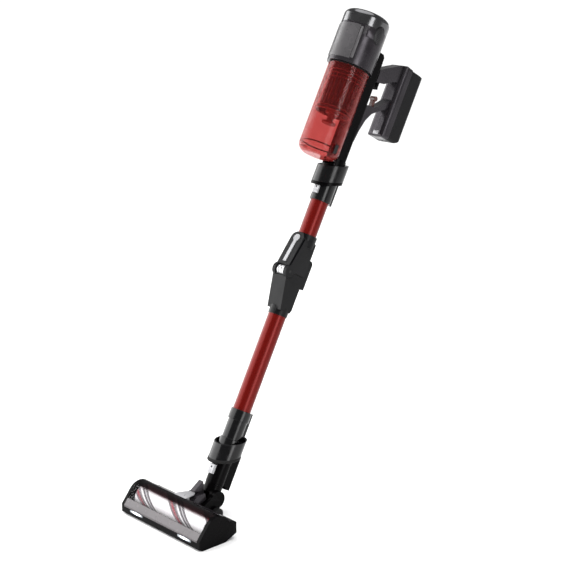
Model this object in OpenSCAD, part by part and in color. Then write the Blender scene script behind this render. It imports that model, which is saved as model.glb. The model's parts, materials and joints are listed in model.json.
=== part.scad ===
// Cordless stick vacuum cleaner with a folding wand and a motorised floor head.
// Millimetres. X runs along the floor head, -Y is the way the head drives, Z is up.
// The origin is the middle of the hand grip. The head stands on the floor far below it.
// Everything above the head's pivot is drawn in an upright "wand frame":
// its Z axis runs up the wand from the pivot and its -Y axis is the front of the machine.

/* [Stance] */
// Lean of the wand behind the upright, degrees
lean = 28.4; // [25:0.2:32]
// Distance of the neck pivot behind the head's front edge
pivot_y = 131; // [130:0.5:133]
// Height of the neck pivot over the floor
pivot_z = 38; // [37:0.5:40]

/* [Floor head] */
// Overall width of the floor head
head_w = 250; // [230:1:270]
// Thickness of each end cap
cap_t = 8; // [6:0.5:9]
// Radius of the brush roll over its pile
brush_r = 26.5; // [25:0.5:27]
// Height of the brush axis over the floor
brush_z = 28.5; // [28:0.5:29]
// Distance of the brush axis behind the front edge
brush_y = 47; // [46.5:0.5:47.5]
// Radius of the rear wheels
wheel_r = 12; // [10:0.5:12.5]

/* [Wand] */
// Outer radius of the aluminium wand tubes
tube_r = 19.25; // [18.5:0.25:19.25]
// Wall of the wand tubes
tube_wall = 1.2; // [1:0.1:1.6]
// Outer radius of the plug that enters each socket
spigot_r = 19.5; // [19:0.1:19.5]
// Outer radius of the socket rings
ring_r = 32; // [31:0.5:33]
// Slope of the socket rings, degrees
ring_tilt = 20; // [18:0.5:21]
// Slope of the ring over the neck, degrees
low_tilt = 25; // [24:0.5:26]
// Height of the fold hinge up the wand
fold_t = 488; // [486:1:490]
// Distance of the fold hinge in front of the wand axis
fold_v = 29; // [28:0.5:30]
// Radius of the fold hinge knuckles
fold_r = 10.5; // [10:0.25:11]
// Radius of the two ears beside the middle knuckle
ear_r = 13.5; // [12:0.25:13.5]

/* [Hand unit] */
// Height of the bottom of the dust bin up the wand
bin_t = 731; // [730:1:733]
// Outer radius of the dust bin
bin_r = 44; // [43:0.5:44]
// Wall of the dust bin
bin_wall = 2; // [1.6:0.1:2.4]
// Height of the floor of the motor housing up the wand
motor_t = 928; // [927:1:930]
// Outer radius of the motor housing
motor_r = 49.5; // [49:0.25:50]
// Height of the joint between motor housing and exhaust cap
cap_joint_t = 1014; // [1012:1:1016]
// Height of the top of the machine up the wand
top_t = 1045; // [1043:1:1048]
// Distance of the bin and motor axis in front of the wand axis
bin_v = 56; // [55.5:0.5:57]

/* [Handle] */
// Distance of the grip's front face behind the wand axis
grip_v = 82; // [81:0.5:84]
// Distance of the parting line between grip and battery
battery_v = 105; // [104:0.5:106]
// Distance of the battery's rear face
battery_back = 145; // [143:0.5:146]
// Width of the grip and of the battery
grip_w = 47; // [46.5:0.5:50]
// Height of the bottom of the grip up the wand
grip_bottom = 834; // [832:1:836]
// Height of the top of the grip up the wand
grip_top = 998; // [996:1:999]

/* [Hidden] */
$fn = 64;
fit = 0.06;        // radial clearance of a running fit
gap = 0.3;         // clearance between pieces that move past each other
seat = 0.05;       // clearance between pieces that are fixed together
half_w = head_w / 2;
inner_x = half_w - cap_t - 0.1;
ring_slope = tan(ring_tilt);
low_slope = tan(low_tilt);
bore_r = spigot_r + gap;
air_r = 15;
pin_r = 3;
// middle of the hand grip, in the wand frame and then over the floor
grip_c = [(grip_v + battery_v) / 2, 905];
origin_y = pivot_y + grip_c[1] * sin(lean) + grip_c[0] * cos(lean);
origin_z = pivot_z + grip_c[1] * cos(lean) - grip_c[0] * sin(lean);
// lower edges of the two sloped rings, at their front
low_ring_t = 67;
// straight rear edge of the bin's door, behind the bin axis
door_y = 23;
top_ring_t = 678.5;
battery_top = 996;
plate_slope = 11;  // lean of the face that carries the fold button

black = [0.05, 0.05, 0.055];
graphite = [0.22, 0.22, 0.235];
smoke = [0.13, 0.13, 0.14];
red = [0.5, 0.05, 0.03];
pale = [0.8, 0.8, 0.8];
rubber = [0.03, 0.03, 0.03];
metal = [0.6, 0.6, 0.62];

// ---------- frames ----------

module on_floor() translate([0, -origin_y, -origin_z]) children();

module on_wand() on_floor() translate([0, pivot_y, pivot_z]) rotate([-lean, 0, 0]) children();

module on_bin_axis() on_wand() translate([0, -bin_v, 0]) children();

// ---------- helpers ----------

// block centred on X, from y0 to y1 and z0 to z1
module slab(half, y0, y1, z0, z1) translate([-half, y0, z0]) cube([2 * half, y1 - y0, z1 - z0]);

// side outline in (y, z), drawn from x0 to x1
module side_cut(x0, x1) translate([x0, 0, 0]) rotate([90, 0, 90]) linear_extrude(x1 - x0) children();

// rod along X
module rod(y, z, r, x0, x1) translate([x0, y, z]) rotate([0, 90, 0]) cylinder(r = r, h = x1 - x0);

module pipe(r_out, r_in, z0, z1)
    difference() {
        translate([0, 0, z0]) cylinder(r = r_out, h = z1 - z0);
        translate([0, 0, z0 - 1]) cylinder(r = r_in, h = z1 - z0 + 2);
    }

module post(r, z0, z1) translate([0, 0, z0]) cylinder(r = r, h = z1 - z0);

// rectangle with rounded corners
module soft_rect(half, y0, y1, r) {
    translate([-half + r, y0]) square([2 * (half - r), y1 - y0]);
    translate([-half, y0 + r]) square([2 * half, y1 - y0 - 2 * r]);
    for (sx = [-1, 1], yy = [y0 + r, y1 - r]) translate([sx * (half - r), yy]) circle(r);
}

module soft_slab(half, y0, y1, z0, z1, r)
    translate([0, 0, z0]) linear_extrude(z1 - z0) soft_rect(half, y0, y1, r);

// space between two planes that rise towards the back; z0 and z1 are their heights at the ring's front
module sloped_band(z0, z1, slope = ring_slope)
    side_cut(-60, 60) polygon([[-80, z0 - 48 * slope], [60, z0 + 92 * slope],
                               [60, z1 + 92 * slope], [-80, z1 - 48 * slope]]);

// ---------- floor head ----------

// outer side outline of the head
module head_outline() {
    polygon([[8, 0], [66, 0], [95, 12], [95, 35], [78, 37], [60, 50], [22, 48.5], [0, 21], [0, 4]]);
    intersection() {
        translate([brush_y, brush_z]) circle(32);
        translate([10, brush_z]) square([80, 40]);
    }
}

// space around the brush, open to the floor
module chamber_outline() {
    translate([brush_y, brush_z]) circle(29.5);
    polygon([[23.95, 46.9], [8, 27], [8, 14], [20, -1], [74, -1], [74, 22], [60, 42]]);
}

module head_shell_outline()
    difference() {
        head_outline();
        chamber_outline();
        polygon([[81, 10], [92, 14.5], [92, 32.5], [82, 33.5]]);
    }

module rear_window_outline() polygon([[56, 34], [100, 34.2], [100, 70], [56, 70]]);

module strip_outline() polygon([[-1, 17], [12, 17], [12.5, 30.9], [8.1, 34.4], [-1, 25]]);

// foot of the window release, over a circle round the brush axis
module release_foot(r_in, y0, y1, z1)
    difference() {
        translate([y0, 45]) square([y1 - y0, z1 - 45]);
        translate([brush_y, brush_z]) circle(r_in);
    }

module window_outline()
    difference() {
        translate([-1, 20]) square([56.9, 50]);
        strip_outline();
    }

module neck_cheeks()
    for (sx = [-1, 1]) {
        side_cut(sx > 0 ? 20 : -26.5, sx > 0 ? 26.5 : -20)
            difference() {
                union() {
                    translate([pivot_y, pivot_z]) circle(18);
                    polygon([[90, 6], [128, 12], [pivot_y + 8, pivot_z - 15], [pivot_y, pivot_z + 17],
                             [94.9, 36], [90, 33]]);
                }
                translate([pivot_y, pivot_z]) circle(6 + fit);
            }
        rod(124, wheel_r, 2.4, sx > 0 ? 26 : -38, sx > 0 ? 38 : -26);
    }

module head_base() {
    color(black) on_floor() difference() {
        union() {
            side_cut(-inner_x, inner_x) difference() {
                head_shell_outline();
                rear_window_outline();
                translate([-1, 0]) strip_outline();
                translate([-1, 20]) square([57, 50]);
            }
            difference() {
                slab(19.7, 94, 116, 6, 36);
                slab(16.5, 90, 120, 9, 33);
                rod(pivot_y, pivot_z, 19.8, -21, 21);
            }
            neck_cheeks();
            // skids that tie the bumper to the rear of the base
            for (x = [-inner_x, inner_x - 5]) translate([x, 6, 0]) cube([5, 70, 5.5]);
        }
        slab(16.5, 70, 96, 12, 32);
        // the cover lies on this plane
        side_cut(-40, 40) intersection() {
            rear_window_outline();
            square([95.05, 70]);
        }
        for (sx = [-1, 1]) {
            translate([sx * (half_w - 48), 1, 13.5]) cube([42, 4.2, 5], center = true);
            translate([sx * 90, 84, -1]) cylinder(r = 1.6 + seat, h = 9);
            translate([sx * 30, 84, -1]) cylinder(r = 1.6 + seat, h = 9);
        }
    }
}

module head_cover() {
    color(graphite) on_floor() {
        difference() {
            side_cut(-inner_x, inner_x) intersection() {
                head_shell_outline();
                rear_window_outline();
            }
            side_cut(-10.3, 14.3) release_foot(31, 59.5, 70.5, 70);
        }
        // hump and hood in front of the neck
        side_cut(-17, 17) polygon([[71.5, 43], [73, 39], [80, 35.5], [93.9, 34.6], [94.5, 39], [108.5, 43.5],
                                   [105, 57], [92, 57.6], [84, 55.5], [75, 48]]);
        side_cut(-6, 6) polygon([[95, 50], [104, 44.5], [109.8, 46], [110.8, 68], [110, 79], [108.6, 79.2],
                                 [86, 63.8], [86.4, 62], [97, 58]]);
    }
}

module window_release() {
    color(pale) on_floor() {
        intersection() {
            side_cut(-18, 18) polygon([[53.5, 60.6], [60, 60.2], [89, 58.2], [89, 60.4], [60, 63], [53.5, 62]]);
            linear_extrude(80) polygon([[-18, 53], [18, 53], [12, 80], [5, 89], [-5, 89], [-12, 80]]);
        }
        side_cut(-10, 10) release_foot(31.3, 60, 70, 60.5);
    }
}

module brush_window() {
    color([0.2, 0.2, 0.22, 0.5]) on_floor() side_cut(-inner_x, inner_x) intersection() {
        head_shell_outline();
        window_outline();
    }
}

module front_strip() {
    color([0.35, 0.35, 0.36]) on_floor() side_cut(-inner_x, inner_x) intersection() {
        head_shell_outline();
        strip_outline();
    }
}

module led_strips() {
    color([0.95, 0.97, 1]) on_floor() for (sx = [-1, 1])
        translate([sx * (half_w - 48), 1.6, 13.5]) cube([41.8, 2.6, 4.8], center = true);
}

module end_cap() {
    side_cut(half_w - cap_t, half_w) head_outline();
    rod(brush_y, brush_z, 4, half_w - cap_t - 5, half_w - cap_t + 1);
}

module end_cap_right() {
    color(black) on_floor() end_cap();
}

module end_cap_left() {
    color(black) on_floor() mirror([1, 0, 0]) end_cap();
}

module brush_core() {
    color(graphite) on_floor() difference() {
        rod(brush_y, brush_z, 21, -inner_x + 1.2, inner_x - 1.2);
        rod(brush_y, brush_z, 18, -inner_x, inner_x - 12);
        rod(brush_y, brush_z, 4 + fit, inner_x - 13, inner_x);
    }
}

module brush_pile() {
    color([0.7, 0.7, 0.7]) on_floor() difference() {
        rod(brush_y, brush_z, brush_r, -inner_x + 6, inner_x - 6);
        rod(brush_y, brush_z, 21 + seat, -inner_x, inner_x);
    }
}

module brush_motor() {
    color(metal) on_floor() difference() {
        union() {
            rod(brush_y, brush_z, 14, -inner_x + 6, -20);
            rod(brush_y, brush_z, 16, -inner_x + 0.3, -inner_x + 8);
        }
        rod(brush_y, brush_z, 4 + seat, -inner_x - 1, -inner_x + 5.2);
        rod(brush_y, brush_z, 2 + fit, -32, -19);
    }
}

module drive_dog() {
    color(metal) on_floor() {
        rod(brush_y, brush_z, 2, -30, -19);
        for (turn = [0:60:120]) translate([-19, brush_y, brush_z]) rotate([turn, 0, 0])
            translate([0, -17.4, -2]) cube([6, 34.8, 4]);
    }
}

module rear_wheel(sx) {
    color(rubber) on_floor() difference() {
        rod(124, wheel_r, wheel_r, sx > 0 ? 27.2 : -36.5, sx > 0 ? 36.5 : -27.2);
        rod(124, wheel_r, 2.4 + fit, sx > 0 ? 26 : -38, sx > 0 ? 38 : -26);
    }
}

module rear_wheel_left() rear_wheel(-1);

module rear_wheel_right() rear_wheel(1);

module head_screws() {
    color(metal) on_floor() for (x = [-90, -30, 30, 90]) translate([x, 84, 0.4]) cylinder(r = 1.6, h = 7.4);
}

// ---------- neck ----------

module neck_base() {
    color(black) on_wand() difference() {
        union() {
            rod(0, 0, 19, -19.5, 19.5);
            rod(0, 0, 6, -26.4, 26.4);
            post(19, 4, 27.5);
            post(air_r, 20, 40);
        }
        post(12.4, -2, 41);
        rod(0, 0, 15, -16.5, 16.5);
        slab(14, -20, 0, -9, 9);
    }
}

module neck_body() {
    color(black) on_wand() difference() {
        union() {
            post(spigot_r, 28.2, 118);
            // rib down the back of the neck
            intersection() {
                slab(14, 0, 33, 28.2, 100);
                sloped_band(-60, low_ring_t - 0.5, low_slope);
            }
            slab(14, 19.6, 33, 23, 29);
        }
        post(air_r + fit, 20, 41);
        post(air_r, 40, 119);
        slab(7.3, -21, -16.4, 45.7, 66.3);
    }
}

module neck_latch() {
    color(pale) on_wand() slab(7, -25, -18.2, 46, 65.5);
}

// ---------- wand ----------

// sloped cup that takes a plug from below; z0 is the cup's lower edge at its front
module cup(z0, tall, slope) {
    intersection() {
        pipe(ring_r, ring_r - 3.2, z0 - 20, z0 + tall + 40);
        sloped_band(z0, z0 + tall, slope);
    }
    intersection() {
        pipe(ring_r - 1, bore_r, z0 - 20, z0 + 60);
        sloped_band(z0, z0 + 8, slope);
    }
}

module lower_collar() {
    color(smoke) on_wand() difference() {
        union() {
            cup(low_ring_t, 41, low_slope);
            difference() {
                intersection() {
                    post(23.2, 60, 125);
                    sloped_band(low_ring_t, 150, low_slope);
                }
                post(bore_r, 59, 119);
            }
            post(20.2, 119, 170);
            post(22.5, 165, 187);
            slab(9, 0, 27, 119.5, 187);
        }
        post(air_r + 1, 110, 188);
        post(tube_r + seat, 168, 188);
    }
}

module lower_tube() {
    color(red) on_wand() pipe(tube_r, tube_r - tube_wall, 168.5, 402);
}

module flex_lower_yoke() {
    color(black) on_wand() difference() {
        union() {
            side_cut(-20, 20) polygon([[-17, 408], [-fold_v - 6.5, fold_t - 12], [-fold_v, fold_t - 0.6],
                                       [15, fold_t - 0.4], [15, 415], [12, 408]]);
            rod(-fold_v, fold_t, fold_r, -11.6, 11.6);
            post(20.5, 397, 415);
        }
        // room for the ears of the upper yoke
        rod(-fold_v, fold_t, ear_r + 0.7, -21, -12);
        rod(-fold_v, fold_t, ear_r + 0.7, 12, 21);
        rod(-fold_v, fold_t, pin_r + fit, -30, 30);
        post(14.5, 400, fold_t + 1);
        post(tube_r + seat, 396, 402.5);
    }
}

module flex_cover() {
    color(black) on_wand() difference() {
        intersection() {
            soft_slab(15, 15.4, 34, 464, 527, 5);
            side_cut(-16, 16) polygon([[15, 464], [30, 464], [34, 470], [34, 518], [26, 527], [15, 527]]);
        }
        soft_slab(12.5, 17.9, 31.5, 467, 518, 3);
    }
}

module flex_hose() {
    color(rubber) on_wand() {
        pipe(12.6, 11.2, 452, 524);
        for (z = [456:6:520]) pipe(13.6, 12, z, z + 3);
    }
}

module flex_pin() {
    color(metal) on_wand() rod(-fold_v, fold_t, pin_r, -20.3, 20.3);
}

module fold_button_place() translate([0, -fold_v - 8.2, fold_t + 12]) rotate([-plate_slope, 0, 0]) children();

module flex_upper_yoke() {
    color(black) on_wand() difference() {
        union() {
            // raised plate that carries the fold button
            intersection() {
                side_cut(-18, 18) polygon([[-fold_v - 8.2, fold_t + 12], [-22.8, 574], [8, 574],
                                           [8, fold_t + 0.4], [-fold_v, fold_t + 0.4]]);
                soft_slab_y(18, -60, 20, fold_t - 20, 574, 13);
            }
            side_cut(-20.4, 20.4) polygon([[-fold_v - 6, fold_t + 8], [-20, 562], [14, 562],
                                           [15, 556], [15, fold_t + 0.4], [-fold_v, fold_t + 0.4]]);
            post(22.3, 548, 575);
            rod(-fold_v, fold_t, ear_r, -20.4, -12);
            rod(-fold_v, fold_t, ear_r, 12, 20.4);
        }
        // room for the knuckle of the lower yoke
        rod(-fold_v, fold_t, fold_r + 0.7, -12.01, 12.01);
        rod(-fold_v, fold_t, pin_r + seat, -30, 30);
        post(14.5, fold_t - 1, 593);
        post(tube_r + seat, 560, 593);
        fold_button_place() {
            slab(4.3, -2, 6, 5.7, 66);
            translate([0, -2, 62]) rotate([-90, 0, 0]) cylinder(r = 8.3, h = 8);
        }
    }
}

module flex_button() {
    color(pale) on_wand() fold_button_place() {
        slab(4, -1.6, 3.4, 6, 62);
        translate([0, -1.6, 62]) rotate([-90, 0, 0]) cylinder(r = 8, h = 3.6);
    }
}

module upper_tube() {
    color(red) on_wand() pipe(tube_r, tube_r - tube_wall, 560.5, 661.9);
}

module upper_collar() {
    color(smoke) on_wand() difference() {
        union() {
            intersection() {
                union() {
                    post(22.5, 650, 720);
                    slab(9, 0, 28, 650, 720);
                }
                sloped_band(500, top_ring_t - 0.5);
            }
            post(spigot_r, 660, 728);
        }
        post(tube_r + seat, 649, 662);
        post(air_r, 661, 729);
        slab(7.3, -26, -16.4, 662.4, 690);
    }
}

module wand_latch() {
    color(pale) on_wand() slab(7, -25, -18.2, 662.8, 679.4);
}

// ---------- inlet, spine and handle ----------

module inlet_socket() {
    color(black) on_wand() {
        intersection() {
            pipe(ring_r, bore_r, 660, 740);
            sloped_band(top_ring_t, top_ring_t + 6.5);
        }
        difference() {
            intersection() {
                pipe(24, bore_r, 665, 745);
                sloped_band(top_ring_t, 900);
            }
            translate([0, -bin_v, bin_t - 1.5]) cylinder(r = bin_r + 0.6, h = 40);
        }
    }
}

module inlet_collar() {
    color(smoke) on_wand() intersection() {
        pipe(ring_r, 29.3, 660, 760);
        sloped_band(top_ring_t + 6.6, 722);
    }
}

module rear_spine() {
    color(black) on_wand() difference() {
        intersection() {
            soft_slab(15, -22, 20, 745.2, 990, 6);
            side_cut(-20, 20) polygon([[-30, 740], [30, 740], [30, 971], [8, 993], [-30, 993]]);
        }
        translate([0, -bin_v, 700]) cylinder(r = bin_r + 0.5, h = motor_t - 0.5 - 700);
        translate([0, -bin_v, motor_t - 1]) cylinder(r = motor_r + seat, h = 100);
        slab(11, -7, 13, 740, 905);
        slab(9.5, -20, 0, 872, 898);
        // pocket of the mode button
        slab(8.3, 16.8, 30, 962.7, 979.3);
    }
}

module mode_button() {
    color(black) on_wand() soft_slab_y(8, 18.6, 24, 963, 979, 4);
}

// block whose corners are rounded when seen along Y
module soft_slab_y(half, y0, y1, z0, z1, r)
    translate([0, y1, 0]) rotate([90, 0, 0]) linear_extrude(y1 - y0) soft_rect(half, z0, z1, r);

// rounded block of grip and battery together, drawn between two depths
module hand_block(inset, y0, y1, z0, z1)
    intersection() {
        soft_slab(grip_w / 2 - inset, grip_v + inset, battery_back - inset, z0, z1, 11 - inset);
        slab(40, y0, y1, z0, z1);
    }

// side outline of the hand block: small radius in front, large ones behind
module hand_outline(inset, z0, z1) {
    translate([grip_v + inset, z0 + 8]) square([battery_back - 28 - grip_v - inset, z1 - z0 - 24]);
    translate([grip_v + 8, z0 + inset]) square([battery_back - 36 - grip_v, z1 - z0 - 2 * inset]);
    translate([battery_back - 30, z0 + 28]) square([30 - inset, z1 - z0 - 44]);
    translate([battery_back - 30, z1 - 20]) square([14, 20 - inset]);
    translate([grip_v + inset, z1 - 20]) square([20, 12]);
    for (z = [z0 + 8, z1 - 8]) translate([grip_v + 8, z]) circle(8 - inset);
    translate([battery_back - 28, z0 + 28]) circle(28 - inset);
    translate([battery_back - 16, z1 - 16]) circle(16 - inset);
}

// ends of the hand block, rounded in both directions
module hand_ends(z0, z1)
    intersection() {
        side_cut(-30, 30) hand_outline(0, z0, z1);
        soft_slab_y(grip_w / 2, 0, 200, z0, z1, 8);
    }

module upper_arm_outline()
    polygon([[20.05, 958], [30, 966], [76, 994], [grip_v + 12, 1000], [battery_v, 999], [battery_v, 960],
             [grip_v, 958], [66, 951], [44, 937], [20.05, 931]]);

module lower_arm_outline()
    polygon([[20.05, 795], [24, 822], [31, 848], [42, 867], [60, 881], [grip_v + 4, 899], [grip_v + 4, 921],
             [63, 897], [46, 884], [20.05, 879]]);

module handle() {
    difference() {
        union() {
            difference() {
                union() {
                    side_cut(-14, 14) upper_arm_outline();
                    side_cut(-12, 12) lower_arm_outline();
                    intersection() {
                        hand_block(0, grip_v, battery_v, grip_bottom, grip_top);
                        hand_ends(grip_bottom, grip_top);
                    }
                }
                hand_block(3, grip_v + 3, battery_v - 3, grip_bottom + 6, grip_top - 6);
            }
            // screw bosses
            for (z = [850, 930, 984]) rod(grip_v + 8, z, 3.6, -grip_w / 2 + 2, grip_w / 2 - 2);
        }
        // opening for the battery terminal
        slab(8.05, battery_v - 4, battery_v + 1, 972, 988);
        // pocket of the trigger
        difference() {
            side_cut(-5.4, 5.4) polygon([[25, 925], [48, 925], [48, 952], [25, 952]]);
            rod(36, 945, 1.8, -6, 6);
        }
        // pocket of the bin release
        slab(4.4, 39.6, 48.4, 874, 890);
        for (z = [850, 930, 984]) rod(grip_v + 8, z, 1.5 + seat, -grip_w / 2 + 1.4, 10);
    }
}

module handle_right() {
    color(graphite) on_wand() intersection() {
        handle();
        translate([0, 0, 780]) cube([40, 140, 240]);
    }
}

module handle_left() {
    color(graphite) on_wand() intersection() {
        handle();
        translate([-40, 0, 780]) cube([40, 140, 240]);
    }
}

module handle_screws() {
    color(metal) on_wand() for (z = [850, 930, 984]) rod(grip_v + 8, z, 1.5, -grip_w / 2 + 1.5, 4);
}

module control_board() {
    color([0.05, 0.25, 0.1]) on_wand() {
        slab(18, battery_v - 6, battery_v - 4.4, 858, 965);
        for (z = [870, 905, 940]) slab(7, battery_v - 9, battery_v - 6, z, z + 14);
    }
}

module battery_terminal() {
    color(black) on_wand() slab(8, battery_v - 4, battery_v + 2.4, 972.05, 987.9);
}

module trigger() {
    color(black) on_wand() difference() {
        union() {
            rod(36, 945, 4.4, -5, 5);
            side_cut(-5, 5) polygon([[32, 946], [33, 924], [37, 920], [40, 921], [39, 930], [40, 946]]);
        }
        rod(36, 945, 1.8 + fit, -6, 6);
    }
}

module bin_release() {
    color([0.25, 0.07, 0.05]) on_wand() {
        slab(4, 40, 48, 879, 900);
        rod(44, 902, 5.5, -6.5, 6.5);
    }
}

// ---------- battery ----------

module battery_case() {
    color(black) on_wand() difference() {
        intersection() {
            hand_block(0, battery_v + 0.5, battery_back, grip_bottom, battery_top);
            hand_ends(grip_bottom, battery_top);
        }
        difference() {
            intersection() {
                hand_block(2.5, battery_v + 3, battery_back, grip_bottom + 6, battery_top - 5);
                side_cut(-30, 30) hand_outline(2.5, grip_bottom, battery_top);
            }
            translate([0, 114, grip_bottom]) cylinder(r = 5, h = 14);
        }
        slab(8.4, battery_v, battery_v + 4, 970, 1000);
        translate([0, 114, grip_bottom - 1]) cylinder(r = 2.75, h = 10);
        slab(9.3, battery_back - 5, battery_back + 1, 871.7, 884.3);
    }
}

module battery_cells() {
    color([0.1, 0.25, 0.5]) on_wand()
        for (sx = [-1, 1], z = [854, 920]) translate([sx * 11.5, (battery_v + battery_back) / 2 + 0.2, z])
            cylinder(r = 9.1, h = 65);
}

module battery_release() {
    color(graphite) on_wand() slab(9, battery_back - 2, battery_back + 2, 872, 884);
}

// ---------- dust bin ----------

module dust_bin() {
    color([0.6, 0.05, 0.03, 0.45]) on_bin_axis() difference() {
        union() {
            pipe(bin_r, bin_r - bin_wall, bin_t + 21, motor_t - 3);
            // fixed rear part of the floor, over the inlet
            translate([0, 0, bin_t]) intersection() {
                bowl(21.5);
                translate([-60, door_y + gap, 0]) cube([120, 60, 30]);
            }
            // lugs and pin of the door hinge
            for (y = [-9, 5.4]) {
                translate([-bin_r - 6.5, y, bin_t + 15]) cube([6.1, 3.6, 12]);
                translate([-bin_r - 1, y, bin_t + 21]) cube([2.1, 3.6, 6]);
            }
            translate([-bin_r - 3.5, -9, bin_t + 17]) rotate([-90, 0, 0]) cylinder(r = 1.5, h = 18);
            // lugs and pin of the latch
            for (y = [-7.6, 5.4]) translate([bin_r - 1.4, y, bin_t + 27]) cube([5, 2.2, 6]);
            translate([bin_r + 2.6, -7.5, bin_t + 30]) rotate([-90, 0, 0]) cylinder(r = 1, h = 15);
        }
        translate([-9, 30, 874]) cube([18, 20, 22]);
    }
}

// side outline of a bowl with rounded rim, from the axis outwards
module bowl_outline(r, corner, top)
    intersection() {
        union() {
            square([r - corner, top]);
            translate([0, corner]) square([r, top - corner]);
            translate([r - corner, corner]) circle(corner);
        }
        square([r + 1, top]);
    }

module bowl(top)
    rotate_extrude() difference() {
        bowl_outline(bin_r, 19, top);
        translate([0, bin_wall]) bowl_outline(bin_r - bin_wall, 19 - bin_wall, top);
    }

module bin_door() {
    color([0.6, 0.05, 0.03, 0.45]) on_bin_axis() difference() {
        union() {
            translate([0, 0, bin_t]) intersection() {
                bowl(20.7);
                translate([-60, -60, 0]) cube([120, 60 + door_y, 30]);
            }
            translate([-bin_r - 3.5, -5, bin_t + 17]) rotate([-90, 0, 0]) cylinder(r = 3, h = 10);
            translate([-bin_r - 3.5, -5, bin_t + 14]) cube([4.2, 10, 5]);
            // tooth under the latch
            translate([bin_r - 1, -4, bin_t + 14]) cube([2, 8, 3]);
        }
        translate([-bin_r - 3.5, -6, bin_t + 17]) rotate([-90, 0, 0]) cylinder(r = 1.5 + fit, h = 12);
    }
}

module door_seal() {
    color(rubber) on_bin_axis() pipe(bin_r - bin_wall - seat, bin_r - 4, bin_t + 21.2, bin_t + 24);
}

module door_latch() {
    color(smoke) on_bin_axis() difference() {
        union() {
            translate([bin_r + 1.4, -5, bin_t + 12]) cube([2.4, 10, 18]);
            translate([bin_r + 2.6, -5, bin_t + 30]) rotate([-90, 0, 0]) cylinder(r = 2, h = 10);
        }
        translate([bin_r + 2.6, -6, bin_t + 30]) rotate([-90, 0, 0]) cylinder(r = 1 + fit, h = 12);
    }
}

module bin_seal() {
    color(rubber) on_bin_axis() pipe(bin_r - 0.2, bin_r - 3.5, motor_t - 2.9, motor_t - 0.4);
}

module cyclone_shroud() {
    color(graphite) on_bin_axis() difference() {
        union() {
            pipe(33, 31.4, 838, motor_t - 3.2);
            pipe(bin_r - bin_wall - 0.1, 31.4, motor_t - 7.5, motor_t - 3.2);
            translate([0, 0, 828]) cylinder(r1 = 38, r2 = 33, h = 10);
        }
        translate([0, 0, 827]) cylinder(r1 = 36.4, r2 = 31.4, h = 11.1);
        post(31.4, 838, motor_t);
        for (turn = [0:20:340]) rotate([0, 0, turn]) translate([25, -2, 846]) cube([12, 4, 62]);
        translate([-9, 30, 874]) cube([18, 20, 22]);
    }
}

module cyclone_cone() {
    color([0.3, 0.08, 0.07]) on_bin_axis() difference() {
        union() {
            translate([0, 0, 824]) cylinder(r1 = 14, r2 = 27, h = 80);
            post(31.2, 904, 908);
            post(7, 806, 826);
            post(15, 803, 807);
        }
        translate([0, 0, 826]) cylinder(r1 = 12, r2 = 25, h = 78.1);
        post(20, 903.9, 909);
    }
}

// ---------- motor housing ----------

module motor_housing() {
    color(graphite) on_bin_axis() difference() {
        post(motor_r, motor_t, cap_joint_t);
        post(motor_r - 2.5, motor_t + 3, cap_joint_t + 1);
        post(34, motor_t - 1, motor_t + 4);
    }
}

module front_panel() {
    color([0.4, 0.4, 0.41]) on_bin_axis() intersection() {
        pipe(motor_r + 1, motor_r + 0.05, motor_t + 8, cap_joint_t - 4);
        slab(30, -60, 0, motor_t, cap_joint_t);
    }
}

module pre_motor_filter() {
    color([0.85, 0.85, 0.8]) on_bin_axis() post(40, motor_t + 3.1, motor_t + 11);
}

module motor_mount() {
    color(rubber) on_bin_axis() difference() {
        pipe(motor_r - 2.6, 22 + seat, 957, 962);
        for (turn = [0:60:300]) rotate([0, 0, turn]) translate([34, 0, 956]) cylinder(r = 7, h = 7);
    }
}

module suction_motor() {
    color(metal) on_bin_axis() difference() {
        post(22, 954, 1000);
        post(2.5 + fit, 953, 990);
    }
}

module impeller() {
    color([0.75, 0.75, 0.75]) on_bin_axis() {
        post(2.5, 942, 985);
        post(7, 942, 953);
        post(21, 950.5, 953);
        for (turn = [0:40:320]) rotate([0, 0, turn]) translate([5, -0.8, 942]) cube([15.5, 1.6, 9]);
    }
}

module exhaust_filter() {
    color([0.85, 0.85, 0.8]) on_bin_axis() pipe(43, 28, cap_joint_t + 2, cap_joint_t + 20);
}

module exhaust_cap() {
    color(smoke) on_bin_axis() difference() {
        translate([0, 0, cap_joint_t + 0.1]) rotate_extrude() intersection() {
            difference() {
                union() {
                    square([motor_r - 12, top_t - cap_joint_t]);
                    square([motor_r, top_t - cap_joint_t - 12]);
                    translate([motor_r - 12, top_t - cap_joint_t - 12]) circle(12);
                }
                square([motor_r - 14, top_t - cap_joint_t - 2.5]);
                square([motor_r - 2.5, top_t - cap_joint_t - 12]);
                translate([motor_r - 13, top_t - cap_joint_t - 13]) circle(10.5);
            }
            square([motor_r, top_t]);
        }
        for (turn = [0:12:348]) rotate([0, 0, turn]) translate([16, -0.8, top_t - 4]) cube([16, 1.6, 6]);
    }
}

motor_housing();
front_panel();
exhaust_cap();
exhaust_filter();
pre_motor_filter();
suction_motor();
motor_mount();
rear_spine();
inlet_socket();
inlet_collar();
handle_left();
handle_right();
battery_terminal();
control_board();
handle_screws();
impeller();
trigger();
mode_button();
bin_release();
dust_bin();
bin_seal();
cyclone_shroud();
cyclone_cone();
bin_door();
door_seal();
door_latch();
battery_case();
battery_cells();
battery_release();
upper_collar();
upper_tube();
flex_upper_yoke();
wand_latch();
flex_button();
flex_pin();
flex_lower_yoke();
flex_cover();
flex_hose();
lower_tube();
lower_collar();
neck_body();
neck_latch();
neck_base();
head_base();
head_cover();
window_release();
brush_window();
end_cap_left();
end_cap_right();
front_strip();
led_strips();
brush_core();
brush_pile();
brush_motor();
drive_dog();
rear_wheel_left();
rear_wheel_right();
head_screws();
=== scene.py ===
"""Looks of a cordless stick vacuum cleaner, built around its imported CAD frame."""

import json
import math
import random

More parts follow.
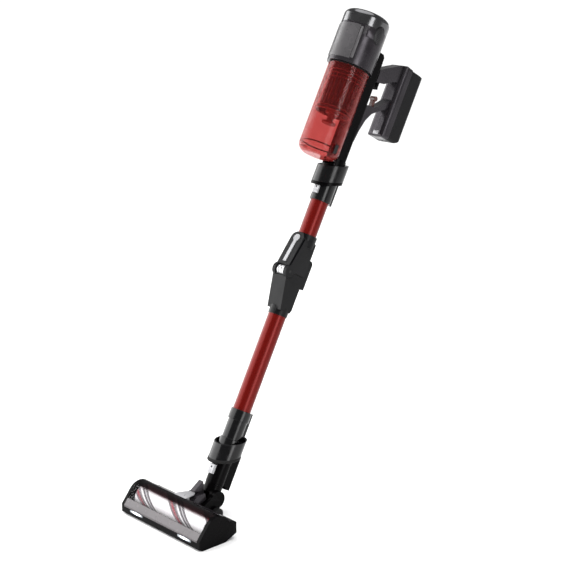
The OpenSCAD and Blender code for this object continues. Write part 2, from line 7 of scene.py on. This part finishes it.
import bmesh
import bpy
from mathutils import Matrix, Vector


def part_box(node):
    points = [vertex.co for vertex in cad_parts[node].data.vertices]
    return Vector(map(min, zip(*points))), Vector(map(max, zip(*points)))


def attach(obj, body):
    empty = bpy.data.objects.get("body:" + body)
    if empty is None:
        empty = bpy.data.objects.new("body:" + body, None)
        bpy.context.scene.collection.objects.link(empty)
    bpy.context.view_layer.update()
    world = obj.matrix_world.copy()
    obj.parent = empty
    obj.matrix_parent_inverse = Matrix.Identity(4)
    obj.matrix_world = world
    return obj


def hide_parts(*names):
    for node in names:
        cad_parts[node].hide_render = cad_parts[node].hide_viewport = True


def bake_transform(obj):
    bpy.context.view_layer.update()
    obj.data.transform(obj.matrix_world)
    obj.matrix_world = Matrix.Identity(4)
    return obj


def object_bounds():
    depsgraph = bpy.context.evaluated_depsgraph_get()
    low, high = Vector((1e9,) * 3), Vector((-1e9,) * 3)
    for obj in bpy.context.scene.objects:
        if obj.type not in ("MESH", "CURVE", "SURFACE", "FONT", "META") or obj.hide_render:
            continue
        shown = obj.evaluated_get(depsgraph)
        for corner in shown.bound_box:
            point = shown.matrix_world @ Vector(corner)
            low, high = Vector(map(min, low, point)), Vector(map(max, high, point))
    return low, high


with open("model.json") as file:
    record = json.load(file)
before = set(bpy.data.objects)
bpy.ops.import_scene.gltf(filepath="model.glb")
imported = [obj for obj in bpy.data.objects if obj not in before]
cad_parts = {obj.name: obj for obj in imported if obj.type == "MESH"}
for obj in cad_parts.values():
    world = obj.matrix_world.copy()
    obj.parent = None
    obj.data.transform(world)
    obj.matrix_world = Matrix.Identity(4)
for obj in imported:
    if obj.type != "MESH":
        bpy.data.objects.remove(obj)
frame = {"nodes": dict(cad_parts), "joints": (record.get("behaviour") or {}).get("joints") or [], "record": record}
cad_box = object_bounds()
joints = {j["name"]: j for j in frame["joints"]}
nodes = frame["nodes"]
slots = {s["node"]: s["material_slot"] for s in frame["record"]["subparts"]}

# ---------- places, from the frame ----------

MM = 0.001
pivot = Vector(joints["neck_pitch"]["pos_m"])
up = -Vector(joints["wand_slide"]["axis"])
back = -Vector(joints["bin_slide"]["axis"])
head_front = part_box("end_cap_right")[0]
brush_axis = Vector(joints["brush_spin"]["pos_m"])

# millimetres in the wand's own frame: X right, Y back, Z up the wand from the neck's pivot
WAND = (
    Matrix.Translation(pivot)
    @ Matrix(((1, 0, 0), back, up)).transposed().to_4x4()
    @ Matrix.Scale(MM, 4)
)
# millimetres over the floor: X right, Y back from the head's front edge, Z up
FLOOR = Matrix.Translation((0, head_front.y, head_front.z)) @ Matrix.Scale(MM, 4)
# the wand frame moved to the axis of bin and motor
fan = Vector(joints["fan_spin"]["pos_m"])
BIN = WAND @ Matrix.Translation((0, (WAND.inverted() @ fan).y, 0))

# sizes of the CAD part that the added pieces follow; the joint between motor housing and cap is
# a height in the wand's frame
MOTOR_R = (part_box("motor_housing")[1].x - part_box("motor_housing")[0].x) / 2 / MM
CAP_JOINT_T = 1014.0

# ---------- materials ----------


class Shader:
    """A new material with its node tree; the methods add nodes and return their outputs."""

    def __init__(self, name):
        self.mat = bpy.data.materials.new(name)
        self.mat.use_nodes = True
        self.tree = self.mat.node_tree
        self.bsdf = self.tree.nodes["Principled BSDF"]
        self.coords = self.tree.nodes.new("ShaderNodeTexCoord").outputs["Object"]

    def link(self, source, socket):
        self.tree.links.new(source, socket)

    def mapped(self, scale=(1, 1, 1), turn=(0, 0, 0)):
        node = self.tree.nodes.new("ShaderNodeMapping")
        node.inputs["Scale"].default_value = scale
        node.inputs["Rotation"].default_value = turn
        self.link(self.coords, node.inputs["Vector"])
        return node.outputs["Vector"]

    def noise(self, scale, detail=3.0, coords=None):
        node = self.tree.nodes.new("ShaderNodeTexNoise")
        node.inputs["Scale"].default_value = scale
        node.inputs["Detail"].default_value = detail
        self.link(coords or self.coords, node.inputs["Vector"])
        return node.outputs["Fac"]

    def ramp(self, fac, low, high, start=0.35, end=0.65):
        """Maps fac between two values."""
        node = self.tree.nodes.new("ShaderNodeMapRange")
        for socket, value in (("From Min", start), ("From Max", end), ("To Min", low), ("To Max", high)):
            node.inputs[socket].default_value = value
        self.link(fac, node.inputs["Value"])
        return node.outputs["Result"]

    def maths(self, operation, a, b=None):
        node = self.tree.nodes.new("ShaderNodeMath")
        node.operation = operation
        for i, value in enumerate((a, b)):
            if hasattr(value, "node"):
                self.link(value, node.inputs[i])
            elif value is not None:
                node.inputs[i].default_value = value
        return node.outputs[0]

    def mix(self, fac, a, b):
        """Mixes two colours."""
        node = self.tree.nodes.new("ShaderNodeMix")
        node.data_type = "RGBA"
        colours = [s for s in node.inputs if s.type == "RGBA"]
        for socket, value in zip(colours, (a, b)):
            if hasattr(value, "node"):
                self.link(value, socket)
            else:
                socket.default_value = (*value, 1)
        self.link(fac, node.inputs["Factor"])
        return [s for s in node.outputs if s.type == "RGBA"][0]

    def bump(self, height, strength, distance):
        node = self.tree.nodes.new("ShaderNodeBump")
        node.inputs["Strength"].default_value = strength
        node.inputs["Distance"].default_value = distance
        self.link(height, node.inputs["Height"])
        self.link(node.outputs["Normal"], self.bsdf.inputs["Normal"])

    def set(self, **values):
        for name, value in values.items():
            self.bsdf.inputs[name.replace("_", " ")].default_value = value


def shade(colour, factor):
    return [min(1.0, c * factor) for c in colour]


def moulded(name, colour, rough, metallic=0.0, grain=1400.0, depth=0.25, spread=0.06, shine=0.3, coat=0.0):
    """Moulded plastic or metal: fine grain, uneven polish, slight tint drift and paler edges."""
    s = Shader(name)
    body = s.mix(s.ramp(s.noise(18.0), 0, 1), shade(colour, 0.85), shade(colour, 1.15))
    edge = s.tree.nodes.new("ShaderNodeNewGeometry").outputs["Pointiness"]
    rim = [min(1.0, c * 1.6 + 0.004) for c in colour]
    s.link(s.mix(s.ramp(edge, 0, 0.6, 0.52, 0.62), body, rim), s.bsdf.inputs["Base Color"])
    s.link(s.ramp(s.noise(55.0, 5.0), max(0.03, rough - spread), rough + spread), s.bsdf.inputs["Roughness"])
    s.set(Metallic=metallic, Specular_IOR_Level=shine, Coat_Weight=coat, Coat_Roughness=0.05)
    s.bump(s.noise(grain, 2.0), depth, 0.0001)
    return s.mat


def anodised(name, colour):
    """Coloured anodised tube: fine lengthwise drawing lines under a satin skin."""
    s = Shader(name)
    lines = s.noise(1500.0, 4.0, s.mapped((1, 1, 0.02), (math.atan2(up.y, up.z), 0, 0)))
    s.link(s.mix(s.ramp(lines, 0, 1), shade(colour, 0.8), shade(colour, 1.1)), s.bsdf.inputs["Base Color"])
    s.link(s.ramp(lines, 0.22, 0.34), s.bsdf.inputs["Roughness"])
    s.set(Metallic=0.3, Specular_IOR_Level=0.18)
    s.bump(lines, 0.1, 0.00005)
    return s.mat


# the brush window's tint is darker behind this line, which runs along its top
DARK_TINT_FROM = head_front.y + 34 * MM


def clear(name, tint, body, haze, rough=0.1, back_tint=None):
    """Tinted clear plastic: light passes and takes the tint, and the skin is glossy.

    The last argument, if given, is a darker tint used behind the line along the window's top."""
    s = Shader(name)
    s.link(s.mix(s.ramp(s.noise(25.0), 0, 1), shade(body, 0.85), body), s.bsdf.inputs["Base Color"])
    s.link(s.ramp(s.noise(80.0), rough, rough + 0.05), s.bsdf.inputs["Roughness"])
    s.set(Specular_IOR_Level=0.6, Coat_Weight=0.6, Coat_Roughness=0.03)
    s.bump(s.noise(60.0), 0.02, 0.0002)
    through = s.tree.nodes.new("ShaderNodeBsdfTransparent")
    through.inputs["Color"].default_value = (*tint, 1)
    if back_tint:
        split = s.tree.nodes.new("ShaderNodeSeparateXYZ")
        s.link(s.coords, split.inputs["Vector"])
        behind = s.ramp(split.outputs["Y"], 0, 1, DARK_TINT_FROM - 0.001, DARK_TINT_FROM + 0.001)
        s.link(s.mix(behind, tint, back_tint), through.inputs["Color"])
    facing = s.tree.nodes.new("ShaderNodeLayerWeight")
    facing.inputs["Blend"].default_value = 0.35
    share = s.ramp(facing.outputs["Facing"], haze, min(0.9, haze + 0.45), 0.2, 1.0)
    mixed = s.tree.nodes.new("ShaderNodeMixShader")
    s.link(share, mixed.inputs["Fac"])
    s.link(through.outputs["BSDF"], mixed.inputs[1])
    s.link(s.bsdf.outputs["BSDF"], mixed.inputs[2])
    s.link(mixed.outputs["Shader"], s.tree.nodes["Material Output"].inputs["Surface"])
    return s.mat


def woven(name, colour, scale=900.0):
    """Filter cloth: matted fibres."""
    s = Shader(name)
    fibre = s.noise(scale, 6.0, s.mapped((1, 1, 0.25)))
    s.link(s.mix(s.ramp(fibre, 0, 1), shade(colour, 0.7), colour), s.bsdf.inputs["Base Color"])
    s.set(Roughness=0.95, Sheen_Weight=0.3)
    s.bump(fibre, 0.8, 0.0006)
    return s.mat


# distance of the middle of each lamp from the head's middle
LAMP_X = 0.077


def lamp(name, colour, strength):
    """Frosted light window with a faint lens ripple, brightest in its middle."""
    s = Shader(name)
    ripple = s.noise(700.0, 2.0, s.mapped((1, 0.2, 0.2)))
    split = s.tree.nodes.new("ShaderNodeSeparateXYZ")
    s.link(s.coords, split.inputs["Vector"])
    aside = s.maths("ABSOLUTE", s.maths("SUBTRACT", s.maths("ABSOLUTE", split.outputs["X"]), LAMP_X))
    glow = s.maths("POWER", s.ramp(aside, 1, 0, 0.004, 0.022), 2.0)
    lens = s.mix(s.ramp(ripple, 0, 1), shade(colour, 0.06), shade(colour, 0.1))
    tint = s.mix(glow, lens, colour)
    s.link(tint, s.bsdf.inputs["Base Color"])
    s.link(tint, s.bsdf.inputs["Emission Color"])
    s.set(Emission_Strength=strength, Roughness=0.3)
    s.bump(ripple, 0.3, 0.0002)
    return s.mat


# the stripes repeat along the brush at this pitch, and two sets of them wind round it
PILE_PITCH = 0.116
PILE_STARTS = 2
PILE_SHIFT = 0.333
# where each stripe starts, as a share of the pitch, and its colour
STRIPES = [
    (0.0, (1.0, 0.99, 0.99)), (0.555, (0.2, 0.18, 0.19)), (0.60, (0.3, 0.17, 0.18)),
    (0.635, (0.36, 0.035, 0.05)), (0.68, (0.17, 0.14, 0.15)), (0.74, (0.35, 0.33, 0.34)),
    (0.775, (0.95, 0.95, 0.95)), (0.825, (0.12, 0.11, 0.12)), (0.895, (0.7, 0.69, 0.7)),
    (0.925, (0.16, 0.15, 0.16)),
]


def striped_pile(name):
    """Soft roller pile in helical stripes round the brush axis: pale, grey, dark and thin red."""
    s = Shader(name)
    split = s.tree.nodes.new("ShaderNodeSeparateXYZ")
    s.link(s.coords, split.inputs["Vector"])
    y = s.maths("SUBTRACT", split.outputs["Y"], brush_axis.y)
    z = s.maths("SUBTRACT", split.outputs["Z"], brush_axis.z)
    turn = s.maths("DIVIDE", s.maths("ARCTAN2", z, y), 2 * math.pi / PILE_STARTS)
    wobble = s.maths("MULTIPLY", s.noise(420.0), 0.012)
    along = s.maths("DIVIDE", split.outputs["X"], PILE_PITCH)
    start = s.maths("ADD", wobble, 10.0 + PILE_SHIFT)
    place = s.maths("FRACT", s.maths("ADD", s.maths("SUBTRACT", along, turn), start))
    bands = s.tree.nodes.new("ShaderNodeValToRGB")
    bands.color_ramp.interpolation = "CONSTANT"
    for i, (stop, colour) in enumerate(STRIPES):
        element = bands.color_ramp.elements[i] if i < 2 else bands.color_ramp.elements.new(stop)
        element.position = stop
        element.color = (*colour, 1)
    s.link(place, bands.inputs["Fac"])
    fibre = s.noise(1400.0, 5.0)
    shaded = s.mix(s.ramp(fibre, 0.8, 1.0), (0.02, 0.02, 0.02), bands.outputs["Color"])
    s.link(shaded, s.bsdf.inputs["Base Color"])
    s.set(Roughness=0.9, Sheen_Weight=0.4)
    s.bump(fibre, 0.9, 0.0008)
    return s.mat


STEEL = {"metallic": 1.0}
POLISHED = {"grain": 500.0, "depth": 0.05}
MATERIALS = {
    "gloss_black": moulded("gloss_black", (0.001, 0.0008, 0.001), 0.24, shine=0.04, **POLISHED),
    "satin_black": moulded("satin_black", (0.0025, 0.0025, 0.003), 0.36, depth=0.4, shine=0.14),
    "graphite": moulded("graphite", (0.028, 0.025, 0.029), 0.25, metallic=0.6, depth=0.15),
    "panel_grey": moulded("panel_grey", (0.06, 0.057, 0.06), 0.3, metallic=0.05, depth=0.5, shine=0.35),
    "smoke": moulded("smoke", (0.002, 0.002, 0.0024), 0.2, shine=0.26, **POLISHED),
    "clear_smoke": clear(
        "clear_smoke", (0.98, 0.975, 0.98), (0.03, 0.028, 0.03), 0.03, back_tint=(0.32, 0.24, 0.25)
    ),
    "red_clear": clear("red_clear", (0.85, 0.53, 0.52), (0.34, 0.04, 0.036), 0.09),
    "red_anodised": anodised("red_anodised", (0.125, 0.003, 0.0015)),
    "lacquer": moulded("lacquer", (0.12, 0.12, 0.124), 0.17, spread=0.03, **STEEL, **POLISHED),
    "strip_grey": moulded("strip_grey", (0.055, 0.047, 0.051), 0.24, depth=0.1, shine=0.5),
    "pale_key": moulded("pale_key", (0.3, 0.3, 0.31), 0.3, metallic=0.2),
    "dark_red_key": moulded("dark_red_key", (0.05, 0.01, 0.006), 0.16, coat=0.3),
    "cyclone_red": moulded("cyclone_red", (0.16, 0.05, 0.045), 0.4, shine=0.2),
    "soft_seal": moulded("soft_seal", (0.006, 0.006, 0.006), 0.7, grain=2200.0, depth=0.6, shine=0.15),
    "filter_cloth": woven("filter_cloth", (0.8, 0.8, 0.76)),
    "pile": striped_pile("pile"),
    "bright_alloy": moulded("bright_alloy", (0.45, 0.45, 0.46), 0.3, **STEEL),
    "screw_steel": moulded("screw_steel", (0.35, 0.35, 0.36), 0.28, **STEEL),
    "dark_steel": moulded("dark_steel", (0.03, 0.03, 0.03), 0.35, metallic=0.8),
    "circuit_green": moulded("circuit_green", (0.02, 0.12, 0.05), 0.35),
    "cell_wrap": moulded("cell_wrap", (0.03, 0.12, 0.35), 0.3),
    "lamp": lamp("lamp", (0.86, 0.93, 1.0), 3.0),
}


# nodes whose finish differs from the rest of their slot
FINISHES = {"front_strip": "strip_grey", "inlet_socket": "gloss_black", "exhaust_cap": "lacquer"}


def finish_node(name, bevel=0.5):
    """Gives a CAD node its material and softens its sharp edges."""
    obj = nodes[name]
    obj.data.materials.clear()
    obj.data.materials.append(MATERIALS[FINISHES.get(name, slots[name])])
    obj.data.polygons.foreach_set("use_smooth", [True] * len(obj.data.polygons))
    weld = obj.modifiers.new("weld", "WELD")
    weld.merge_threshold = 1e-6
    edge = obj.modifiers.new("edges", "BEVEL")
    edge.width = bevel * MM
    edge.segments = 2
    edge.limit_method = "ANGLE"
    edge.angle_limit = math.radians(32)
    edge.miter_outer = "MITER_ARC"
    normals = obj.modifiers.new("normals", "WEIGHTED_NORMAL")
    normals.keep_sharp = True


for name in nodes:
    finish_node(name)

# ---------- building pieces ----------


def piece(name, mesh, place, body, slot):
    """A new piece from a bmesh drawn in millimetres of the frame `place`."""
    mesh.transform(place)
    bmesh.ops.recalc_face_normals(mesh, faces=mesh.faces)
    data = bpy.data.meshes.new(name)
    mesh.to_mesh(data)
    mesh.free()
    data.polygons.foreach_set("use_smooth", [True] * len(data.polygons))
    obj = bpy.data.objects.new(name, data)
    bpy.context.scene.collection.objects.link(obj)
    data.materials.append(MATERIALS[slot])
    if body:
        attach(obj, body)
    return obj


def grid_surface(mesh, rows, closed_across=False, closed_along=False):
    """Faces over a grid of points: rows of equal length."""
    verts = [[mesh.verts.new(p) for p in row] for row in rows]
    count, width = len(verts), len(verts[0])
    for i in range(count if closed_along else count - 1):
        for k in range(width if closed_across else width - 1):
            a, b = verts[i], verts[(i + 1) % count]
            mesh.faces.new((a[k], a[(k + 1) % width], b[(k + 1) % width], b[k]))
    return verts


def on_cylinder(radius, degrees, height):
    """Point on a cylinder: 0 degrees is the front, 90 the machine's right."""
    a = math.radians(degrees)
    return Vector((radius * math.sin(a), -radius * math.cos(a), height))


def curved_plate(mesh, radius, thick, a0, a1, z0, z1, corner=2.0, steps=24):
    """Plate that follows a cylinder, with rounded corners and a softened rim."""
    half_w = math.radians(a1 - a0) * radius / 2
    half_h = (z1 - z0) / 2
    middle_a, middle_z = (a0 + a1) / 2, (z0 + z1) / 2
    corner = min(corner, half_w, half_h)

    def corners(inset):
        points = []
        r = max(0.05, corner - inset)
        for cx, cz, start in ((1, 1, 0), (-1, 1, 90), (-1, -1, 180), (1, -1, 270)):
            middle = cx * (half_w - corner), cz * (half_h - corner)
            for i in range(7):
                a = math.radians(start + 15 * i)
                points.append((middle[0] + r * math.cos(a), middle[1] + r * math.sin(a)))
        return list(zip(points, points[1:] + points[:1]))

    counts = [max(1, math.ceil(abs(q[0] - p[0]) / (2 * half_w) * steps)) for p, q in corners(0)]

    def outline(inset):
        dense = []
        for ((x0, y0), (x1, y1)), n in zip(corners(inset), counts):
            dense += [(x0 + (x1 - x0) * k / n, y0 + (y1 - y0) * k / n) for k in range(n)]
        return dense

    def lift(points, r):
        return [on_cylinder(r, middle_a + math.degrees(x / radius), middle_z + z) for x, z in points]

    rim = thick * 0.35
    base, top_edge = outline(0), outline(rim)
    rings = [lift(base, radius), lift(base, radius + thick - rim), lift(top_edge, radius + thick)]
    verts = grid_surface(mesh, rings, closed_across=True)
    top = verts[-1]
    count = len(top)
    start = min(range(count), key=lambda k: (round(top_edge[k][0], 3), abs(top_edge[k][1])))
    order = [top[(start + k) % count] for k in range(count)]
    low, high = 0, count - 1
    while high - low > 2:
        mesh.faces.new((order[low], order[low + 1], order[high - 1], order[high]))
        low, high = low + 1, high - 1
    if high - low == 2:
        mesh.faces.new((order[low], order[low + 1], order[high]))


def revolve(mesh, profile, place=None, steps=96, closed=True):
    """Turned shape about the local Z axis; profile is a list of (radius, height)."""
    rows = []
    for k in range(steps):
        a = 2 * math.pi * k / steps
        rows.append([(r * math.cos(a), r * math.sin(a), z) for r, z in profile])
    verts = grid_surface(mesh, rows, closed_across=closed, closed_along=True)
    if place is not None:
        for row in verts:
            for v in row:
                v.co = place @ v.co


def bead(radius, height, wide, tall, steps=12):
    """Rounded ring section: centre radius and height, width and height of the section."""
    turns = [2 * math.pi * k / steps for k in range(steps)]
    return [(radius + wide / 2 * math.cos(a), height + tall / 2 * math.sin(a)) for a in turns]


def soft_box(mesh, low, high, radius, place=None):
    """Block between two corners with rounded edges."""
    made = bmesh.ops.create_cube(mesh, size=1.0)["verts"]
    low, high = Vector(low), Vector(high)
    for v in made:
        v.co = Vector([low[i] + (high[i] - low[i]) * (v.co[i] + 0.5) for i in range(3)])
    edges = list({e for v in made for e in v.link_edges})
    made = bmesh.ops.bevel(mesh, geom=edges, offset=radius, segments=3, affect="EDGES", profile=0.5)
    if place is not None:
        for v in made["verts"]:
            v.co = place @ v.co


def build_brush():
    """Roller pile: a fuzzy sleeve with a shallow groove along each stripe's edge."""
    rng = random.Random(7)
    low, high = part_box("brush_pile")
    radius = (high.z - low.z) / 2
    core_r = 0.0213
    x0, x1 = low.x, high.x
    mesh = bmesh.new()
    rows = []
    lengths, around = 220, 168
    for i in range(lengths + 1):
        x = x0 + (x1 - x0) * i / lengths
        end = min(i, lengths - i)
        drop = 0.004 if end == 0 else 0.0012 if end == 1 else 0.0
        row = []
        for k in range(around):
            a = 2 * math.pi * k / around
            share = (x / PILE_PITCH - a / (2 * math.pi) * PILE_STARTS + PILE_SHIFT) % 1.0
            groove = 0.0006 if min(abs(share - start) for start, _ in STRIPES) < 0.006 else 0.0
            r = radius - 0.0005 - groove - drop - rng.random() * 0.0004
            row.append((x, brush_axis.y + r * math.cos(a), brush_axis.z + r * math.sin(a)))
        rows.append(row)
    turns = [2 * math.pi * k / around for k in range(around)]
    core = [(core_r * math.cos(a), core_r * math.sin(a)) for a in turns]
    rows.insert(0, [(x0, brush_axis.y + y, brush_axis.z + z) for y, z in core])
    rows.append([(x1, brush_axis.y + y, brush_axis.z + z) for y, z in core])
    grid_surface(mesh, rows, closed_across=True)
    obj = piece("brush_fibres", mesh, Matrix.Identity(4), "brush_roll", "pile")
    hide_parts("brush_pile")


build_brush()


def build_motor_details():
    """Raised skirts, ribs, oval grilles and ridges over the motor housing and its cap.

    Angles are degrees from the front, t is a height, and each plate is on both sides."""
    wall = MOTOR_R + 0.02
    skirt_from, skirt_to, skirt_t = 55, 79, 990.5
    mesh = bmesh.new()
    for side in (1, -1):
        low_a, high_a = sorted((side * skirt_from, side * skirt_to))
        curved_plate(mesh, wall, 0.8, low_a, high_a, skirt_t, CAP_JOINT_T - 0.4, 3)
    piece("cap_skirts", mesh, BIN, "hand_unit", "graphite")
    rib_from, rib_pitch, rib_half, rib_t, rib_top_t = 47.6, 1.5, 0.4, 993, 1012
    mesh = bmesh.new()
    for side in (1, -1):
        for k in range(5):
            a = side * (rib_from + rib_pitch * k)
            curved_plate(mesh, wall, 0.8, a - rib_half, a + rib_half, rib_t + 0.7 * k, rib_top_t, 0.35, 2)
    piece("skirt_ribs", mesh, BIN, "hand_unit", "panel_grey")
    ridge_from, ridge_to, ridge_t, ridge_top_t = 38, 45, 938, 1008
    mesh = bmesh.new()
    for side in (1, -1):
        low_a, high_a = sorted((side * ridge_from, side * ridge_to))
        curved_plate(mesh, MOTOR_R - 0.2, 1.5, low_a, high_a, ridge_t, ridge_top_t, 2.8)
    piece("panel_ridges", mesh, BIN, "hand_unit", "panel_grey")
    half_a, half_t, grille_a, grille_t = 15.5, 19.5, 90, 1004.5
    mesh = bmesh.new()
    for side in (1, -1):
        low_a, high_a = sorted((side * (grille_a - half_a), side * (grille_a + half_a)))
        curved_plate(mesh, wall, 1.0, low_a, high_a, grille_t - half_t, grille_t + half_t, 13)
    piece("grilles", mesh, BIN, "hand_unit", "satin_black")
    # pale studs on the dark grille: the perforated plate's own grey, with its light dots painted in as highlights
    mesh = bmesh.new()
    stud_pitch_a, stud_pitch_t, stud_half_a, stud_half_t = 3.5, 3.4, 0.9, 0.8
    for side in (1, -1):
        for row in range(-5, 6):
            for k in range(-4, 5):
                a = stud_pitch_a * (k + (0.5 if row % 2 else 0))
                t = stud_pitch_t * row
                if (a / (half_a - 2)) ** 2 + (t / (half_t - 2)) ** 2 < 1:
                    a = side * (grille_a + a)
                    t += grille_t
                    low_a, high_a = a - stud_half_a, a + stud_half_a
                    curved_plate(
                        mesh, MOTOR_R + 1.0, 0.3, low_a, high_a, t - stud_half_t, t + stud_half_t, 0.8, 2
                    )
    piece("grille_highlight_studs", mesh, BIN, "hand_unit", "panel_grey")


build_motor_details()


def build_bin_details():
    """Rings round the cyclone's top and its skirt, and guide rails, all inside the clear bin."""
    rings = [(38.6, t, 4.6, 1.6) for t in (896, 904, 912)]
    skirt_rings = [(37.4, 826.4, 4.4, 3.0), (35.5, 834.5, 2.6, 1.6)]
    mesh = bmesh.new()
    for ring in rings + skirt_rings:
        revolve(mesh, bead(*ring))
    piece("cyclone_rings", mesh, BIN, "bin", "cyclone_red")
    rail_half, rail_in, rail_out, rail_t, rail_top_t = 0.7, 38.8, 41.6, 835, 921
    mesh = bmesh.new()
    for side in (1, -1):
        for a in (26, 34):
            turned = Matrix.Rotation(math.radians(side * a), 4, "Z")
            low, high = (-rail_half, -rail_out, rail_t), (rail_half, -rail_in, rail_top_t)
            soft_box(mesh, low, high, 0.4, turned)
    piece("bin_rails", mesh, BIN, "bin", "graphite")


def build_hose():
    """Bellows inside the fold joint."""
    foot_t, length, radius, wave, wall = 452.5, 71.0, 12.6, 0.9, 1.3
    folds, steps = 12, 96
    mesh = bmesh.new()
    profile = []
    for k in range(steps + 1):
        z = foot_t + length * k / steps
        profile.append((radius + wave * math.cos(2 * math.pi * folds * k / steps), z))
    profile += [(r - wall, z) for r, z in reversed(profile)]
    revolve(mesh, profile, steps=64)
    mesh.transform(WAND)
    obj = piece("hose_bellows", mesh, Matrix.Identity(4), None, "soft_seal")
    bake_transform(obj)
    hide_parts("flex_hose")


def build_fold_details():
    """Sleeve over the middle knuckle, with a groove on each side of its middle."""
    hinge = WAND.inverted() @ Vector(joints["wand_fold"]["pos_m"])
    turned = Matrix.Translation(hinge) @ Matrix.Rotation(math.radians(90), 4, "Y")
    mesh = bmesh.new()
    profile = [(10.45, -11.2), (10.9, -10.9), (10.95, -5.2), (10.6, -4.9), (10.6, -4.5), (10.95, -4.2)]
    profile += [(r, -z) for r, z in reversed(profile)]
    profile += [(10.2, 11.2), (10.2, -11.2)]
    revolve(mesh, profile, turned)
    piece("knuckle_sleeve", mesh, WAND, "lower_wand", "bright_alloy")


def build_keys():
    """Grips on the two catches, and a gloss-black disc on each that paints the shade in the catch's hole; each
    catch is given by its node, its body and its foot.
    """
    front, rib_half, rib_tall, rib_pitch, shade_disc_up = -25.1, 5.4, 1.1, 2.1, 13.2
    for name, body, foot in (("wand_latch", "wand_key", 662.8), ("neck_latch", "neck_key", 46.0)):
        mesh = bmesh.new()
        for k in range(3):
            t = foot + 2 + rib_pitch * k
            soft_box(mesh, (-rib_half, front - 0.4, t), (rib_half, front + 0.5, t + rib_tall), 0.35)
        piece(name + "_ribs", mesh, WAND, body, "pale_key")
        # painted shade: a raised gloss-black disc stands for the dark hole in the catch's front
        mesh = bmesh.new()
        facing = Matrix.Translation((0, front, foot + shade_disc_up)) @ Matrix.Rotation(math.radians(90), 4, "X")
        profile = [(0.01, 0.35), (1.5, 0.35), (1.9, 0.1), (1.9, -0.3), (0.01, -0.3)]
        revolve(mesh, profile, facing, 32, False)
        piece(name + "_painted_hole_shade", mesh, WAND, body, "gloss_black")


# the grip's front face, and the neck's sloped ring: its lower edge rises towards the back
GRIP_V = 82.0
RING_FRONT_T = 67.0
RING_R = 32.0
RING_SLOPE = math.tan(math.radians(25))


def build_trims():
    """Blank pale plate low on the grip's front, and the dark lip of the neck's sloped ring."""
    mesh = bmesh.new()
    soft_box(mesh, (-4, GRIP_V - 0.5, 837.5), (11, GRIP_V + 0.3, 845.5), 0.35)
    piece("grip_plate", mesh, WAND, "hand_unit", "pale_key")
    mesh = bmesh.new()
    rows = []
    steps = 96
    for k in range(steps):
        a = 360 * k / steps
        low = RING_FRONT_T + RING_R * (1 - math.cos(math.radians(a))) * RING_SLOPE
        profile = ((0.02, 0.3), (0.5, 0.7), (0.5, 6.6), (0.02, 7.2))
        rows.append([on_cylinder(RING_R + out, a, low + t) for out, t in profile])
    grid_surface(mesh, rows, closed_across=True, closed_along=True)
    piece("neck_ring_lip", mesh, WAND, "lower_wand", "soft_seal")


build_bin_details()
build_hose()
build_fold_details()
build_keys()
build_trims()

# ---------- camera, floor and light ----------

# the photo's camera: its place is in millimetres of the floor's frame
CAMERA_AZIMUTH = 47.23
CAMERA_PITCH = 15.18
CAMERA_PLACE = Vector((2056.2, -1571.7, 1218.6))


def look_from(azimuth, pitch):
    """Rotation of a camera that looks from that azimuth (0 = front, 90 = right), pitched down."""
    return Matrix.Rotation(math.radians(azimuth), 4, "Z") @ Matrix.Rotation(math.radians(90 - pitch), 4, "X")


camera = bpy.data.objects.new("camera", bpy.data.cameras.new("camera"))
bpy.context.scene.collection.objects.link(camera)
camera.data.lens = 90.0
camera.data.clip_end = 200
camera.matrix_world = Matrix.Translation(FLOOR @ CAMERA_PLACE) @ look_from(CAMERA_AZIMUTH, CAMERA_PITCH)
bpy.context.scene.camera = camera


def build_floor():
    """White stage just under the object."""
    size = 60.0
    mesh = bpy.data.meshes.new("floor")
    z = cad_box[0][2] - 0.0002
    corners = [(x, y, z) for x, y in ((-size, -size), (size, -size), (size, size), (-size, size))]
    mesh.from_pydata(corners, [], [(0, 1, 2, 3)])
    floor = bpy.data.objects.new("floor", mesh)
    bpy.context.scene.collection.objects.link(floor)
    s = Shader("floor_paint")
    paint = s.mix(s.ramp(s.noise(40.0), 0, 1), (0.93, 0.93, 0.93), (0.95, 0.95, 0.95))
    s.link(paint, s.bsdf.inputs["Base Color"])
    s.set(Roughness=0.9, Specular_IOR_Level=0.1)
    floor.data.materials.append(s.mat)


def softbox(name, azimuth, height, distance, size, power, target=(0, -0.25, -0.15)):
    """Area light at that azimuth round the object (0 = front, 90 = right), aimed at it."""
    data = bpy.data.lights.new(name, "AREA")
    data.shape = "RECTANGLE"
    data.size, data.size_y = size
    data.energy = power
    obj = bpy.data.objects.new(name, data)
    bpy.context.scene.collection.objects.link(obj)
    a = math.radians(azimuth)
    target = Vector(target)
    obj.location = target + Vector((distance * math.sin(a), -distance * math.cos(a), height))
    obj.rotation_euler = (target - obj.location).to_track_quat("-Z", "Y").to_euler()


build_floor()
world = bpy.data.worlds.new("studio")
world.use_nodes = True
background = world.node_tree.nodes["Background"]
background.inputs["Color"].default_value = (1, 1, 1, 1)
background.inputs["Strength"].default_value = 0.3
bpy.context.scene.world = world
sun = bpy.data.lights.new("overhead", "SUN")
sun.energy = 2.8
sun.angle = math.radians(70)
overhead = bpy.data.objects.new("overhead", sun)
bpy.context.scene.collection.objects.link(overhead)
softbox("left_box", CAMERA_AZIMUTH - 102, 0.5, 2.4, (4.6, 2.2), 135)
softbox("right_strip", CAMERA_AZIMUTH + 33, 0.6, 3.2, (1.1, 2.6), 60)
bpy.context.scene.view_settings.view_transform = "Standard"
